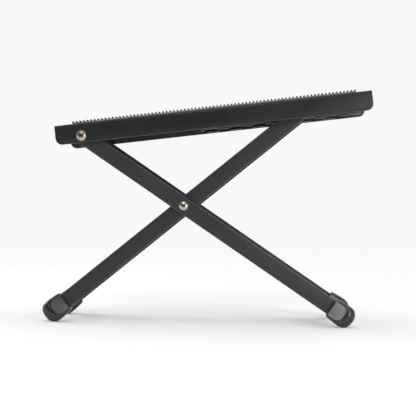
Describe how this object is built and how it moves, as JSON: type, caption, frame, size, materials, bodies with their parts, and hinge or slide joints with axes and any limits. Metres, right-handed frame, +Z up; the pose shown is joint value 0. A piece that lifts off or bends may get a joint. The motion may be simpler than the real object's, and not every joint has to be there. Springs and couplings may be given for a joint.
{
  "type": "guitar footrest",
  "caption": "Folding guitar footrest: ridged rubber mat on a tilting black steel plate, crossed flat-bar legs with rubber boots and notched height rails.",
  "frame": {"origin": "on the floor, below the middle of the footrest's bounding box at its stored height", "axes": "+X along the plate towards its raised end, +Y from the near side to the far side, +Z up"},
  "size_m": [0.3092, 0.1164, 0.2238],
  "materials": {
    "plate_paint": "satin black powder coat",
    "leg_paint": "satin black powder coat",
    "rail_paint": "satin black powder coat",
    "mat_rubber": "matte moulded rubber with small studs",
    "boot_rubber": "dark grey moulded rubber with a soft sheen",
    "nickel_screws": "bright nickel plate",
    "zinc_hardware": "zinc plate",
    "nylon_rings": "black nylon"
  },
  "bodies": {
    "outer_frame": {"outer_cross_bar": "leg_paint", "outer_leg_near": "leg_paint", "outer_boot_near": "boot_rubber", "centre_screw_near": "nickel_screws", "centre_washer_near": "nylon_rings", "centre_nut_near": "zinc_hardware", "plate_screw_near": "nickel_screws", "plate_spacer_near": "nylon_rings", "press_nut_near": "zinc_hardware", "outer_leg_far": "leg_paint", "outer_boot_far": "boot_rubber", "centre_screw_far": "nickel_screws", "centre_washer_far": "nylon_rings", "centre_nut_far": "zinc_hardware", "plate_screw_far": "nickel_screws", "plate_spacer_far": "nylon_rings", "press_nut_far": "zinc_hardware"},
    "inner_frame": {"inner_cross_bar": "leg_paint", "catch_bar": "leg_paint", "inner_leg_near": "leg_paint", "inner_boot_near": "boot_rubber", "inner_leg_far": "leg_paint", "inner_boot_far": "boot_rubber"},
    "plate": {"foot_plate": "plate_paint", "rubber_mat": "mat_rubber", "guide_rail_near": "rail_paint", "rail_rivet_near_1": "zinc_hardware", "rail_rivet_near_2": "zinc_hardware", "rail_rivet_near_3": "zinc_hardware", "guide_rail_far": "rail_paint", "rail_rivet_far_1": "zinc_hardware", "rail_rivet_far_2": "zinc_hardware", "rail_rivet_far_3": "zinc_hardware"}
  },
  "joints": [
    {"name": "leg_fold", "type": "hinge", "parent": "outer_frame", "child": "inner_frame", "pos_m": [-0.02146, 0, 0.112], "axis": [0, -1, 0], "range_deg": [-73.3, 31.33]},
    {"name": "plate_tilt", "type": "hinge", "parent": "outer_frame", "child": "plate", "pos_m": [-0.11849, 0, 0.17647], "axis": [0, -1, 0], "range_deg": [-40.86, 17.47]}
  ],
  "couplings": [
    {"joint": "plate_tilt", "follows": "leg_fold", "ratio": 0.5573}
  ]
}
